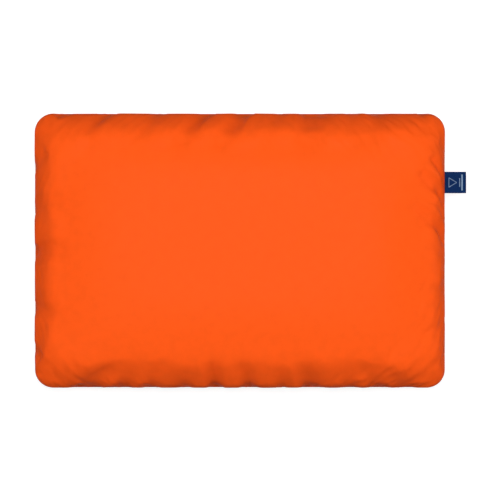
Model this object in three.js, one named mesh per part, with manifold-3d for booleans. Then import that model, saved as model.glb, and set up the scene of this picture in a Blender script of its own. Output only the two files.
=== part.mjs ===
// A camp pillow: a zip-off fabric cover round an inner pillow of foam, fibre wrap and liner.
// Millimetres, +Z up. The pillow lies on its underside, and the origin is the middle of that underside.
// X runs along the pillow, and the woven label is on its +X end. The zip is low on the -Y side.
import * as THREE from "three";
import { mergeVertices } from "three/addons/utils/BufferGeometryUtils.js";
import Module from "manifold-3d";

// ---- Driving dimensions ----

const PILLOW = {
  length: 457, // along X, between the end seams
  width: 305, // along Y, between the side seams
  cornerRadius: 20, // of the seam's outline
  cornerGrowth: 0.6, // how much rounder the corners get for each millimetre inwards
  loftAboveSeam: 54,
  loftBelowSeam: 46,
  topRun: 110, // how far in from the seam the top's slope ends
  topFullness: 2.8, // the exponent of the top's superellipse
  bottomRun: 55, // how far in from the seam the flat underside starts
  bottomFullness: 2.4,
};

const FABRIC = 0.8; // the cover's cloth
const LINER = 0.6; // the liner's cloth
const WRAP = 8; // the fibre round the core
const LAYER_GAP = 0.3; // between pieces that touch
const COVER_CLEARANCE = 2; // the inner pillow is this much smaller than the cover, all round

const SEAM = {
  gap: 0.4, // between the two cloths that the seam joins
  allowance: 10, // how far the sewn edges reach inside the cover
};

const BINDING = {
  cover: 4, // how far it laps over the raw edges
  thickness: 0.6,
};

const LABEL = {
  width: 24, // along the seam
  reach: 24, // how far it stands out from the seam
  thickness: 0.9, // two layers of woven tape
  fromMiddle: 76, // along Y
  clearance: 0.4, // to the seam
};

const CARE_LABEL = {
  width: 30,
  drop: 20,
  thickness: 0.5,
  fromMiddle: -130, // along X
  clearance: 2, // to the cover, at its lower edge
};

const ZIP = {
  dropBelowSeam: 24, // the chain's line, straight down from the seam
  chainLength: 330,
  halfGap: 0.6, // each row of teeth starts this far from the middle
  coilWidth: 2.7,
  coilHeight: 1.9,
  tapeThickness: 0.5,
  tapeWidth: 13.4,
  tapeEnd: 9, // how far the tapes run on past the chain
  tapeGap: 0.5, // between the cloth and the tape behind it
  windowHalfWidth: 6,
  windowEnd: 5, // how far the window runs on past the chain
  stopLength: 3,
};

const SLIDER = {
  length: 12,
  narrowHalfWidth: 4.3, // where the closed chain leaves it
  wideHalfWidth: 4.8, // where the two rows come in
  wideFrom: 1.8, // ahead of its middle, the start of the wide part
  wideTo: 4.8, // and its end, where the corners of the nose start
  noseHalfWidth: 2.9,
  noseDip: 0.9, // the notch in the middle of the nose
  plate: 1.1,
  flange: 1, // the lips along its two sides
  flangeLength: 9.6, // from its narrow end
  clearance: 0.3, // to the teeth, the tapes and the stops
  divider: 0.6, // thickness of the post between the rows
  dividerLength: 3,
  dividerFromNose: 1.5,
  bridgeWidth: 2.4,
  bridgeLength: 7.6,
  bridgeWall: 0.9,
  bridgeLeg: 1.3,
  bridgeWindow: 1.8, // height of the opening under the bridge
};

const PULL = {
  length: 24, // from its pin to its far end
  armLap: 0.5, // how far the arms run into the plate
  width: 6.6,
  thickness: 1.1,
  armWidth: 1.5,
  plateStart: 4.6, // from the pin to where the arms join
  eyeRadius: 1.5,
  sides: 12,
};

const ARC_STEPS = 6; // straight steps in each corner of a ring
const SLOPE_STEPS = 11; // steps from the seam to the flat
const INNER_SLOPE_STEPS = 8; // the same, for the pieces inside the cover

// ---- Materials ----

const cloth = (color, roughness) => new THREE.MeshStandardMaterial({ color, roughness, metalness: 0 });

const MATERIAL = {
  coverCloth: cloth(0xfe5b1a, 0.8),
  bindingTape: cloth(0xd94e18, 0.85),
  linerCloth: cloth(0xf2efe9, 0.85),
  fibre: cloth(0xfafaf7, 0.95),
  foam: cloth(0xf1e7c6, 0.95),
  labelTape: cloth(0x072b56, 0.7),
  careTape: cloth(0xf7f7f5, 0.7),
  zipTape: cloth(0xc9491a, 0.8),
  zipCoil: cloth(0xb8431a, 0.4),
  zipMetal: new THREE.MeshStandardMaterial({ color: 0x8d8f92, roughness: 0.35, metalness: 0.9 }),
};

// ---- Outlines and profiles ----

const SEAM_HEIGHT = PILLOW.loftBelowSeam;
const TOP = { run: PILLOW.topRun, rise: PILLOW.loftAboveSeam, fullness: PILLOW.topFullness };
const BOTTOM = { run: PILLOW.bottomRun, rise: PILLOW.loftBelowSeam, fullness: PILLOW.bottomFullness };

// The rounded rectangle that is that far in from the seam, at a height above the origin.
function ringAt(inset, height) {
  const halfLength = PILLOW.length / 2 - inset;
  const halfWidth = PILLOW.width / 2 - inset;
  const radius = Math.min(PILLOW.cornerRadius + PILLOW.cornerGrowth * inset, halfWidth - 0.5);
  const corners = [[1, 1], [-1, 1], [-1, -1], [1, -1]];
  return corners.flatMap(([sx, sy], quarter) =>
    Array.from({ length: ARC_STEPS + 1 }, (_, i) => {
      const angle = ((quarter + i / ARC_STEPS) * Math.PI) / 2;
      return new THREE.Vector3(
        sx * (halfLength - radius) + radius * Math.cos(angle),
        sy * (halfWidth - radius) + radius * Math.sin(angle),
        height,
      );
    }),
  );
}

// A slope's point at a share from 0, the seam, to 1, the flat.
// x is how far in it is, and y how far from the seam's plane.
function slopePoint(slope, share) {
  const angle = (share * Math.PI) / 2;
  const power = 2 / slope.fullness;
  return new THREE.Vector2(
    slope.run * (1 - Math.max(0, Math.cos(angle)) ** power),
    slope.rise * Math.sin(angle) ** power,
  );
}

const slopeLine = (slope, steps) =>
  Array.from({ length: steps + 1 }, (_, i) => slopePoint(slope, i / steps));

// The line moved into the pillow. Its first point stays level with the seam, and its last over the flat.
function movedIn(line, distance) {
  return line.map((point, i) => {
    const before = line[Math.max(i - 1, 0)];
    const after = line[Math.min(i + 1, line.length - 1)];
    if (i === 0) return new THREE.Vector2(point.x + distance, point.y);
    if (i === line.length - 1) return new THREE.Vector2(point.x, point.y - distance);
    const into = point.clone().sub(before).normalize();
    const out = after.clone().sub(point).normalize();
    const inward = new THREE.Vector2(into.y + out.y, -into.x - out.x).normalize();
    const miter = distance / Math.max(0.5, inward.dot(new THREE.Vector2(into.y, -into.x)));
    return point.clone().addScaledVector(inward, miter);
  });
}

// The line with everything nearer the seam than that inset replaced by a straight wall there.
function walled(line, inset) {
  const first = line.findIndex((point) => point.x > inset);
  const [below, above] = [line[first - 1], line[first]];
  const share = (inset - below.x) / (above.x - below.x);
  const corner = new THREE.Vector2(inset, THREE.MathUtils.lerp(below.y, above.y, share));
  return [new THREE.Vector2(inset, 0), corner, ...line.slice(first)];
}

// The line starting a little way off the seam's plane.
const startingAt = (line, height) => [new THREE.Vector2(line[0].x, height), ...line.slice(1)];

const toRings = (line, side) => line.map((point) => ringAt(point.x, SEAM_HEIGHT + side * point.y));

// ---- Solids ----

// A surface over rings of equally many points, closed by a flat face at each end or joined end to end.
function loft(rings, joined = false) {
  const count = rings[0].length;
  const positions = rings.flat().flatMap((point) => point.toArray());
  const index = [];
  const last = joined ? rings.length : rings.length - 1;
  for (let r = 0; r < last; r++) {
    const next = (r + 1) % rings.length;
    for (let i = 0; i < count; i++) {
      const j = (i + 1) % count;
      const [a, b, c, d] = [r * count + i, r * count + j, next * count + j, next * count + i];
      index.push(a, b, c, a, c, d);
    }
  }
  if (!joined) {
    const end = (rings.length - 1) * count;
    for (let i = 1; i < count - 1; i++) {
      index.push(0, i + 1, i, end, end + i, end + i + 1);
    }
  }
  const geometry = new THREE.BufferGeometry();
  geometry.setAttribute("position", new THREE.Float32BufferAttribute(positions, 3));
  geometry.setIndex(signedVolume(positions, index) < 0 ? index.toReversed() : index);
  geometry.computeVertexNormals();
  return geometry;
}

function signedVolume(positions, index) {
  const corner = (i) => new THREE.Vector3().fromArray(positions, 3 * index[i]);
  let sum = 0;
  for (let i = 0; i < index.length; i += 3) {
    sum += corner(i).dot(corner(i + 1).cross(corner(i + 2)));
  }
  return sum / 6;
}

const manifold = await Module();
manifold.setup();

function toSolid(geometry) {
  const bare = geometry.clone();
  bare.deleteAttribute("normal");
  bare.deleteAttribute("uv");
  const merged = mergeVertices(bare, 1e-3);
  return new manifold.Manifold(
    new manifold.Mesh({
      numProp: 3,
      vertProperties: merged.attributes.position.array,
      triVerts: new Uint32Array(merged.index.array),
    }),
  );
}

function toGeometry(solid) {
  const mesh = solid.getMesh();
  const geometry = new THREE.BufferGeometry();
  geometry.setAttribute("position", new THREE.BufferAttribute(mesh.vertProperties, mesh.numProp));
  geometry.setIndex(new THREE.BufferAttribute(mesh.triVerts, 1));
  geometry.computeVertexNormals();
  return geometry;
}

const joinedUp = (geometries) => toGeometry(geometries.map(toSolid).reduce((all, next) => all.add(next)));

function boxAt(size, centre) {
  return new THREE.BoxGeometry(...size).translate(...centre);
}

function extruded(shape, depth, curveSegments = 6) {
  return new THREE.ExtrudeGeometry(shape, { depth, bevelEnabled: false, curveSegments });
}

// ---- Cover ----

// Half of the cover: the outer face to the seam, the sewn edge inside it, and back along the inner face.
function coverPanel(slope, side) {
  const outer = slopeLine(slope, SLOPE_STEPS);
  const inner = movedIn(outer, FABRIC);
  const near = SEAM.gap / 2;
  const far = near + FABRIC;
  const sewnEdge = [new THREE.Vector2(SEAM.allowance, near), new THREE.Vector2(SEAM.allowance, far)];
  const section = [...startingAt(outer, near).toReversed(), ...sewnEdge, ...startingAt(inner, far)];
  return loft(toRings(section, side));
}

// The tape folded round the sewn edges inside the cover.
function seamBinding() {
  const insideHalf = SEAM.gap / 2 + FABRIC + LAYER_GAP;
  const outsideHalf = insideHalf + BINDING.thickness;
  const lip = SEAM.allowance - BINDING.cover;
  const fold = SEAM.allowance + LAYER_GAP;
  const back = fold + BINDING.thickness;
  const section = [
    [lip, insideHalf], [fold, insideHalf], [fold, -insideHalf], [lip, -insideHalf],
    [lip, -outsideHalf], [back, -outsideHalf], [back, outsideHalf], [lip, outsideHalf],
  ];
  return loft(section.map(([inset, height]) => ringAt(inset, SEAM_HEIGHT + height)), true);
}

const BINDING_BACK = SEAM.allowance + LAYER_GAP + BINDING.thickness;

// ---- Zip ----

// The share of the bottom slope at which it is that far below the seam.
function shareAtDrop(drop) {
  return (Math.asin((drop / BOTTOM.rise) ** (BOTTOM.fullness / 2)) * 2) / Math.PI;
}

// The chain's middle on the cover's outer face, and how far the face leans under there.
function zipSeat() {
  const share = shareAtDrop(ZIP.dropBelowSeam);
  const step = 1e-3;
  const point = slopePoint(BOTTOM, share);
  const along = slopePoint(BOTTOM, share + step).sub(slopePoint(BOTTOM, share - step));
  return { point, lean: Math.atan2(along.x, along.y) };
}

const SEAT = zipSeat();

// The zip's own frame: x along the chain, y up the cover's face, and z straight out of it.
// Zero is on the cover's outer face.
const zipFrame = new THREE.Group();
zipFrame.position.set(0, -PILLOW.width / 2 + SEAT.point.x, SEAM_HEIGHT - SEAT.point.y);
zipFrame.rotation.x = Math.PI / 2 + SEAT.lean;

const TAPE_FACE = -FABRIC - ZIP.tapeGap; // the tape's outer face in the zip's frame
const TAPE_BACK = TAPE_FACE - ZIP.tapeThickness;
const COIL_BASE = TAPE_FACE + LAYER_GAP;
const COIL_TOP = COIL_BASE + ZIP.coilHeight;
const COIL_EDGE = ZIP.halfGap + ZIP.coilWidth;
const CHAIN_END = ZIP.chainLength / 2;

// Points on the cover's outer face in the zip's frame, each with the face's normal, from y = from to y = to.
function faceLine(from, to, steps) {
  const fine = Array.from({ length: 401 }, (_, i) => slopePoint(BOTTOM, i / 400));
  const local = fine.map((point) => {
    const offset = new THREE.Vector2(point.x - SEAT.point.x, SEAT.point.y - point.y);
    const [sin, cos] = [Math.sin(SEAT.lean), Math.cos(SEAT.lean)];
    return new THREE.Vector2(-offset.x * sin + offset.y * cos, -offset.x * cos - offset.y * sin);
  });
  const curve = new THREE.SplineCurve(local.toReversed());
  return Array.from({ length: steps + 1 }, (_, i) => {
    const wanted = THREE.MathUtils.lerp(from, to, i / steps);
    let [low, high] = [0, 1];
    for (let pass = 0; pass < 30; pass++) {
      const middle = (low + high) / 2;
      if (curve.getPoint(middle).x < wanted) low = middle;
      else high = middle;
    }
    const point = curve.getPoint(low);
    const tangent = curve.getTangent(low);
    return { point, normal: new THREE.Vector2(-tangent.y, tangent.x) };
  });
}

// Extrudes a shape drawn in the zip frame's y and z along its x, about the middle.
function alongZip(shape, length) {
  const turn = new THREE.Matrix4().makeBasis(
    new THREE.Vector3(0, 1, 0),
    new THREE.Vector3(0, 0, 1),
    new THREE.Vector3(1, 0, 0),
  );
  return extruded(shape, length).translate(0, 0, -length / 2).applyMatrix4(turn);
}

// A tape follows the cloth's inner face, so it bends with the slope.
function zipTape(side) {
  const line = faceLine(side * ZIP.halfGap, side * (ZIP.halfGap + ZIP.tapeWidth), 6);
  const moved = (depth) => line.map(({ point, normal }) => point.clone().addScaledVector(normal, depth));
  const outline = new THREE.Shape([...moved(TAPE_FACE), ...moved(TAPE_BACK).toReversed()]);
  return alongZip(outline, ZIP.chainLength + 2 * ZIP.tapeEnd);
}

// A row of teeth as one rounded bar.
function zipCoil(side) {
  const radius = ZIP.coilHeight / 3;
  const [low, high] = [side * ZIP.halfGap, side * COIL_EDGE].sort((a, b) => a - b);
  const outline = new THREE.Shape();
  outline.moveTo(low, COIL_BASE);
  outline.lineTo(high, COIL_BASE);
  outline.lineTo(high, COIL_TOP - radius);
  outline.absarc(high - radius, COIL_TOP - radius, radius, 0, Math.PI / 2);
  outline.absarc(low + radius, COIL_TOP - radius, radius, Math.PI / 2, Math.PI);
  return alongZip(outline, ZIP.chainLength);
}

// The window in the cover that the chain shows through, as a cutter in the zip's frame.
function windowCutter() {
  const [halfLength, radius] = [CHAIN_END + ZIP.windowEnd, ZIP.windowHalfWidth];
  const outline = new THREE.Shape();
  outline.absarc(halfLength - radius, 0, radius, -Math.PI / 2, Math.PI / 2);
  outline.absarc(-halfLength + radius, 0, radius, Math.PI / 2, (3 * Math.PI) / 2);
  const depth = 8 * FABRIC;
  return extruded(outline, depth).translate(0, 0, -depth / 2);
}

function coverBottomPanel() {
  zipFrame.updateMatrixWorld(true);
  const cutter = windowCutter().applyMatrix4(zipFrame.matrixWorld);
  return toGeometry(toSolid(coverPanel(BOTTOM, -1)).subtract(toSolid(cutter)));
}

// A stop past one end of the chain, over one row or over both.
function zipStop(from, to, end) {
  const height = ZIP.coilHeight;
  const middle = end * (CHAIN_END + LAYER_GAP + ZIP.stopLength / 2);
  return boxAt([ZIP.stopLength, to - from, height], [middle, (from + to) / 2, COIL_BASE + height / 2]);
}

// ---- Slider and pull, in the zip's frame ----

// How far the tapes curve away behind the slider's sides.
function tapeFall() {
  const ends = [-SLIDER.wideHalfWidth, SLIDER.wideHalfWidth].map((y) => faceLine(y, y, 1)[0].point.y);
  return -Math.min(0, ...ends);
}

const PLATE_BASE = COIL_TOP + SLIDER.clearance;
const PLATE_TOP = PLATE_BASE + SLIDER.plate;
const PIN_HEIGHT = PLATE_TOP + SLIDER.bridgeWindow / 2;
const LOWER_PLATE_FACE = TAPE_BACK - tapeFall() - SLIDER.clearance;
const LOWER_PLATE_BACK = LOWER_PLATE_FACE - SLIDER.plate;

function sliderOutline() {
  const half = SLIDER.length / 2;
  const side = [
    [half - SLIDER.noseDip, 0],
    [half, SLIDER.noseHalfWidth],
    [SLIDER.wideTo, SLIDER.wideHalfWidth],
    [SLIDER.wideFrom, SLIDER.wideHalfWidth],
    [-half, SLIDER.narrowHalfWidth],
  ];
  const mirrored = side.slice(1).toReversed().map(([x, y]) => [x, -y]);
  return new THREE.Shape([...side, ...mirrored].map(([x, y]) => new THREE.Vector2(x, y)));
}

// The arch on the slider's back that the pull's pin runs through.
function sliderBridge() {
  const half = SLIDER.bridgeLength / 2;
  const foot = PLATE_TOP - SLIDER.plate / 2;
  const top = PLATE_TOP + SLIDER.bridgeWindow + SLIDER.bridgeWall;
  const arch = new THREE.Shape([
    new THREE.Vector2(-half, foot),
    new THREE.Vector2(half, foot),
    new THREE.Vector2(half, top - SLIDER.bridgeWall),
    new THREE.Vector2(half - SLIDER.bridgeWall, top),
    new THREE.Vector2(-half + SLIDER.bridgeWall, top),
    new THREE.Vector2(-half, top - SLIDER.bridgeWall),
  ]);
  const inside = half - SLIDER.bridgeLeg;
  arch.holes.push(
    new THREE.Path([
      new THREE.Vector2(-inside, PLATE_TOP),
      new THREE.Vector2(-inside, top - SLIDER.bridgeWall),
      new THREE.Vector2(inside, top - SLIDER.bridgeWall),
      new THREE.Vector2(inside, PLATE_TOP),
    ]),
  );
  const width = SLIDER.bridgeWidth;
  return extruded(arch, width).translate(0, 0, -width / 2).rotateX(Math.PI / 2);
}

function zipSlider() {
  const upper = extruded(sliderOutline(), SLIDER.plate).translate(0, 0, PLATE_BASE);
  const lower = extruded(sliderOutline(), SLIDER.plate).translate(0, 0, LOWER_PLATE_BACK);
  const lipBase = TAPE_FACE + SLIDER.clearance;
  const lipTop = PLATE_BASE + SLIDER.plate / 2;
  const lipMiddle = COIL_EDGE + SLIDER.clearance + SLIDER.flange / 2;
  const lips = [1, -1].map((side) =>
    boxAt([SLIDER.flangeLength, SLIDER.flange, lipTop - lipBase],
      [(SLIDER.flangeLength - SLIDER.length) / 2, side * lipMiddle, (lipTop + lipBase) / 2]),
  );
  const dividerTop = PLATE_BASE + SLIDER.plate / 2;
  const dividerBase = LOWER_PLATE_BACK + SLIDER.plate / 2;
  const dividerMiddle = (SLIDER.length - SLIDER.dividerLength) / 2 - SLIDER.dividerFromNose;
  const divider = boxAt([SLIDER.dividerLength, SLIDER.divider, dividerTop - dividerBase],
    [dividerMiddle, 0, (dividerTop + dividerBase) / 2]);
  return joinedUp([upper, lower, ...lips, divider, sliderBridge()]);
}

// The pull lies back along the chain from its pin, which is its own origin.
function zipPullTab() {
  const half = PULL.width / 2;
  const armStart = SLIDER.bridgeWidth / 2 + SLIDER.clearance;
  const armLength = PULL.plateStart + PULL.armLap;
  const plate = new THREE.Shape();
  plate.moveTo(-PULL.plateStart, -half);
  plate.lineTo(-PULL.plateStart, half);
  plate.lineTo(-PULL.length + half, half);
  plate.absarc(-PULL.length + half, 0, half, Math.PI / 2, (3 * Math.PI) / 2);
  const eye = new THREE.Path();
  eye.absarc(-PULL.length + half, 0, PULL.eyeRadius, 0, 2 * Math.PI, true);
  plate.holes.push(eye);
  const flat = extruded(plate, PULL.thickness).translate(0, 0, -PULL.thickness / 2);
  const arms = [1, -1].map((side) =>
    boxAt([armLength, PULL.armWidth, PULL.thickness],
      [-armLength / 2, side * (armStart + PULL.armWidth / 2), 0]),
  );
  const pin = new THREE.CylinderGeometry(
    PULL.thickness / 2, PULL.thickness / 2, 2 * (armStart + PULL.armWidth), PULL.sides);
  return joinedUp([flat, ...arms, pin]);
}

// ---- Inner pillow ----

// The inner pillow's side wall stands clear of the binding, and of the slider where that reaches deeper.
const SLIDER_BACK =
  SEAT.point.x - LOWER_PLATE_BACK * Math.cos(SEAT.lean) + SLIDER.wideHalfWidth * Math.sin(SEAT.lean);
const LINER_WALL = Math.max(BINDING_BACK + COVER_CLEARANCE, SLIDER_BACK + SLIDER.clearance);

// The half line of a surface inside the cover, that deep under the liner's outer face.
function innerLine(slope, depth) {
  const cover = slopeLine(slope, INNER_SLOPE_STEPS);
  return walled(movedIn(cover, FABRIC + COVER_CLEARANCE + depth), LINER_WALL + depth);
}

const WRAP_DEPTH = LINER + LAYER_GAP;
const CORE_DEPTH = WRAP_DEPTH + WRAP + LAYER_GAP;

// A layer's upper or lower half: a dish with its rim on the seam's plane.
function dish(slope, side, depth, thickness) {
  const rim = LAYER_GAP / 2;
  const outer = startingAt(innerLine(slope, depth), rim);
  const inner = startingAt(innerLine(slope, depth + thickness), rim);
  return loft(toRings([...outer.toReversed(), ...inner], side));
}

function foamCore() {
  const above = toRings(innerLine(TOP, CORE_DEPTH), 1);
  const below = toRings(innerLine(BOTTOM, CORE_DEPTH).slice(1), -1);
  return loft([...above.toReversed(), ...below]);
}

// ---- Labels ----

// The label's origin is the line it hinges on, just outside the seam, where its root is rounded.
function wovenLabel() {
  const root = LABEL.thickness / 2;
  const outline = new THREE.Shape();
  outline.moveTo(LABEL.reach - LABEL.clearance - root, root);
  outline.absarc(0, 0, root, Math.PI / 2, (3 * Math.PI) / 2);
  outline.lineTo(LABEL.reach - LABEL.clearance - root, -root);
  return extruded(outline, LABEL.width).translate(0, 0, -LABEL.width / 2).rotateX(Math.PI / 2);
}

function careLabel() {
  const { width, drop, thickness } = CARE_LABEL;
  return new THREE.BoxGeometry(width, thickness, drop);
}

// ---- Assembly ----

const pillow = new THREE.Group();

function add(name, geometry, material, parent = pillow) {
  const mesh = new THREE.Mesh(geometry, material);
  mesh.name = name;
  parent.add(mesh);
  return mesh;
}

function addCover() {
  add("cover_top_panel", coverPanel(TOP, 1), MATERIAL.coverCloth);
  add("cover_bottom_panel", coverBottomPanel(), MATERIAL.coverCloth);
  add("cover_seam_binding", seamBinding(), MATERIAL.bindingTape);
}

function addLabels() {
  const label = add("woven_label", wovenLabel(), MATERIAL.labelTape);
  const hinge = PILLOW.length / 2 + LABEL.clearance + LABEL.thickness / 2;
  label.position.set(hinge, LABEL.fromMiddle, SEAM_HEIGHT);
  const care = add("care_label", careLabel(), MATERIAL.careTape);
  const top = SEAM.gap / 2 + FABRIC + BINDING.thickness + 2 * LAYER_GAP;
  const coverFace = slopePoint(BOTTOM, shareAtDrop(top + CARE_LABEL.drop)).x + FABRIC;
  care.position.set(
    CARE_LABEL.fromMiddle,
    PILLOW.width / 2 - coverFace - CARE_LABEL.clearance - CARE_LABEL.thickness / 2,
    SEAM_HEIGHT - top - CARE_LABEL.drop / 2,
  );
}

function addInnerPillow() {
  const halves = [["top", TOP, 1], ["bottom", BOTTOM, -1]];
  for (const [name, slope, side] of halves) {
    add(`liner_${name}_panel`, dish(slope, side, 0, LINER), MATERIAL.linerCloth);
    add(`fibre_wrap_${name}`, dish(slope, side, WRAP_DEPTH, WRAP), MATERIAL.fibre);
  }
  add("foam_core", foamCore(), MATERIAL.foam);
}

function addZip() {
  pillow.add(zipFrame);
  for (const [name, side] of [["upper", 1], ["lower", -1]]) {
    add(`zip_tape_${name}`, zipTape(side), MATERIAL.zipTape, zipFrame);
    add(`zip_coil_${name}`, zipCoil(side), MATERIAL.zipCoil, zipFrame);
    const [from, to] = [side * ZIP.halfGap, side * COIL_EDGE].sort((a, b) => a - b);
    add(`zip_top_stop_${name}`, zipStop(from, to, 1), MATERIAL.zipMetal, zipFrame);
  }
  add("zip_bottom_stop", zipStop(-COIL_EDGE, COIL_EDGE, -1), MATERIAL.zipMetal, zipFrame);
  const slider = add("zip_slider", zipSlider(), MATERIAL.zipMetal, zipFrame);
  slider.position.x = CHAIN_END - SLIDER.length / 2;
  const pull = add("zip_pull_tab", zipPullTab(), MATERIAL.zipMetal, zipFrame);
  pull.position.set(slider.position.x, 0, PIN_HEIGHT);
}

addCover();
addLabels();
addInnerPillow();
addZip();

export default pillow;
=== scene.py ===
"""The looks of a camp pillow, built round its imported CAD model. Metres, +Z up, the CAD's own frame.

The cover's two panels are cloth simulations of a cut that is a little too big for the seam, so that they
pucker along it. Everything else is mesh work: zip, labels, binding, liner, fibre wrap and foam core.
"""
import math
import random

import bmesh
import bpy
import numpy as np
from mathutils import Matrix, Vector, noise
from mathutils.bvhtree import BVHTree
from mathutils.geometry import delaunay_2d_cdt


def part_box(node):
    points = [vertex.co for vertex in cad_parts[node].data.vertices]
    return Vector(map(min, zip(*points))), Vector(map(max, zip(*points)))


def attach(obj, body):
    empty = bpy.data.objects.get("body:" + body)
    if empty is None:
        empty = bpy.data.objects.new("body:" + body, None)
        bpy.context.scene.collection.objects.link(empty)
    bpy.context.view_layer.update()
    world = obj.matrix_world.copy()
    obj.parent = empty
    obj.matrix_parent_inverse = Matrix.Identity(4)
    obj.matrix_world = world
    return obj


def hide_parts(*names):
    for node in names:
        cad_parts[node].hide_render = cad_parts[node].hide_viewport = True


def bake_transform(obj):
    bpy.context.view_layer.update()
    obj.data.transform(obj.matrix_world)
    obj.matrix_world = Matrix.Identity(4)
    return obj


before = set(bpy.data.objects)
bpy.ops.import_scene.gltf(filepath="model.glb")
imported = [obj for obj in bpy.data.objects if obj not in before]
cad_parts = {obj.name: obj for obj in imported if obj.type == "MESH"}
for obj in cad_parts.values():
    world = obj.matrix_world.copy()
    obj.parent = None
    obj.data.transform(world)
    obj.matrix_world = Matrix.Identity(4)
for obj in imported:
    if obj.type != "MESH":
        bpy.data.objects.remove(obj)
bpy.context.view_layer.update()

MM = 0.001

# ---- Sizes, from the frame and the part's own dimensions ----

HALF_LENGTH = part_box("cover_top_panel")[1].x
HALF_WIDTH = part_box("cover_top_panel")[1].y
TOP_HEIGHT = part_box("cover_top_panel")[1].z
SEAM_HEIGHT = (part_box("cover_top_panel")[0].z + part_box("cover_bottom_panel")[1].z) / 2
CORNER_RADIUS = 20 * MM
CORNER_GROWTH = 0.6  # how much rounder a ring's corners get for each metre inwards
TOP_RUN, TOP_FULLNESS = 110 * MM, 2.8  # how far in the slope ends, and its superellipse's exponent
BOTTOM_RUN, BOTTOM_FULLNESS = 55 * MM, 2.4
CLOTH = 0.8 * MM
SEAM_ALLOWANCE = 10 * MM
FIRST_ARC = 1.4 * MM  # the cloth's bend into the seam starts this far from the seam's plane
SEAM_ROLL = 1.2 * MM  # and has this radius


# ---- Rings and slopes ----

def slope_table(run, rise, fullness, steps=2000):
    """Inset, height and arc length along a slope, from the seam to the flat."""
    angle = np.linspace(0, math.pi / 2, steps)
    power = 2 / fullness
    inset = run * (1 - np.clip(np.cos(angle), 0, None) ** power)
    height = rise * np.sin(angle) ** power
    arc = np.concatenate([[0], np.cumsum(np.hypot(np.diff(inset), np.diff(height)))])
    return {"inset": inset, "height": height, "arc": arc, "length": arc[-1]}


def half_shell(side, inset, depth, first=FIRST_ARC):
    """The upper (side 1) or lower (side -1) half of the pillow's shape, that much smaller than the cover."""
    rise = (TOP_HEIGHT - SEAM_HEIGHT if side > 0 else SEAM_HEIGHT) - depth
    run = (TOP_RUN if side > 0 else BOTTOM_RUN) - inset
    table = slope_table(run, rise, TOP_FULLNESS if side > 0 else BOTTOM_FULLNESS)
    return {"side": side, "half_x": HALF_LENGTH - inset, "half_y": HALF_WIDTH - inset, "table": table,
            "spare": table["length"] - run, "first": first}


TOP = half_shell(1, 0, 0)
TOP["shoulders"] = [43, 52, 50, 62]  # mm from the seam: on the right, at the back, on the left, at the front
BOTTOM = half_shell(-1, 0, 0)
SHOULDER_RISE, SHOULDER_WIDTH, SHOULDER_WAVER = 2.1 * MM, 10 * MM, 2.6 * MM
FLANK_FALL, FLANK_WIDTH, FLANK_BELOW = 1.8 * MM, 12 * MM, 22 * MM


def along_slope(slope, arc):
    """Inset and height at an arc length from the seam, running on over the flat."""
    table = slope["table"]
    over = np.maximum(arc - table["length"], 0)
    inset = np.interp(arc, table["arc"], table["inset"]) + over
    return inset, np.interp(arc, table["arc"], table["height"])


def corner_radius(inset, half_width):
    return np.minimum(CORNER_RADIUS + CORNER_GROWTH * inset, half_width - 0.5 * MM)


def on_ring(half_x, half_y, radius, stretch, share):
    """Points of rounded rectangles: stretches 0, 2, 4 and 6 are the sides, and the odd ones the corners."""
    quarter = stretch // 2
    turn = quarter * math.pi / 2
    along_x = quarter % 2 == 0
    reach = np.where(along_x, half_x, half_y)  # how far out the side is
    run = np.where(along_x, half_y, half_x) - radius  # half of the side's straight length
    corner = stretch % 2 == 1
    angle = np.where(corner, share * math.pi / 2, 0)
    out = np.where(corner, reach - radius + radius * np.cos(angle), reach)
    side = np.where(corner, run + radius * np.sin(angle), (2 * share - 1) * run)
    return out * np.cos(turn) - side * np.sin(turn), out * np.sin(turn) + side * np.cos(turn)


def stretch_lengths(half_x, half_y, radius):
    """The lengths of a ring's eight stretches."""
    sides = [2 * (half_y - radius), 2 * (half_x - radius)] * 2
    return [length for side in sides for length in (side, math.pi / 2 * radius)]


# ---- The cover's cut: each point's place on the flat cloth, on the pillow, and in its rest shape ----

FINE, COARSE = 3.0 * MM, 8.0 * MM  # the mesh's spacing by the seam and over the flat
ROW = 0.87  # the distance between rings, as a share of the spacing
FADE = 62 * MM  # the spare cloth is used up this far from the seam
LOOSE_SHARE = 0.45  # of the spare cloth that starts flat, the rest being in the hollows already

# Where each side's cloth is fuller: place in x or y, spare length and half width in millimetres, and lean.
TOP_FOLDS = {
    "back": [(-190, 2.4, 8, 0.7), (-140, 2.2, 7, 0.6), (-86, 1.0, 7, 0.4), (-33, 3.2, 7, 0.5),
             (11, 4.0, 7, 0.5), (48, 0.9, 6, 0.3), (82, 4.2, 9, 0.1), (122, 1.0, 6, -0.2), (157, 2.0, 8, 0.2),
             (196, 1.6, 8, -0.6)],
    "front": [(-182, 3.6, 10, -0.8), (-140, 2.0, 8, -0.5), (-104, 1.6, 7, -0.3), (-66, 1.4, 7, -0.2),
              (-26, 2.8, 6, 0.1), (13, 2.4, 7, 0.2), (48, 1.2, 6, 0.1), (84, 2.8, 8, 0.3), (126, 1.4, 7, 0.2),
              (162, 2.4, 8, 0.5), (198, 1.6, 7, 0.8)],
    "right": [(-112, 1.4, 7, 0.5), (-76, 1.0, 6, 0.3), (-40, 1.4, 6, 0.1), (3, 3.8, 6, -0.7),
              (26, 1.0, 4, -0.6), (44, 3.6, 6, -0.7), (66, 2.4, 5, -0.8), (104, 1.2, 7, -0.6)],
    "left": [(-104, 1.4, 8, 0.5), (-60, 1.6, 8, 0.2), (-4, 3.4, 7, -0.1), (42, 1.4, 8, -0.2),
             (88, 1.4, 8, -0.5)],
}
ROUND = [("right", 1), ("back", -1), ("left", -1), ("front", 1)]  # a ring's sides, and which way it runs


def smooth(low, high, value):
    share = np.clip((np.asarray(value, float) - low) / (high - low), 0, 1)
    return share * share * (3 - 2 * share)


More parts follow.
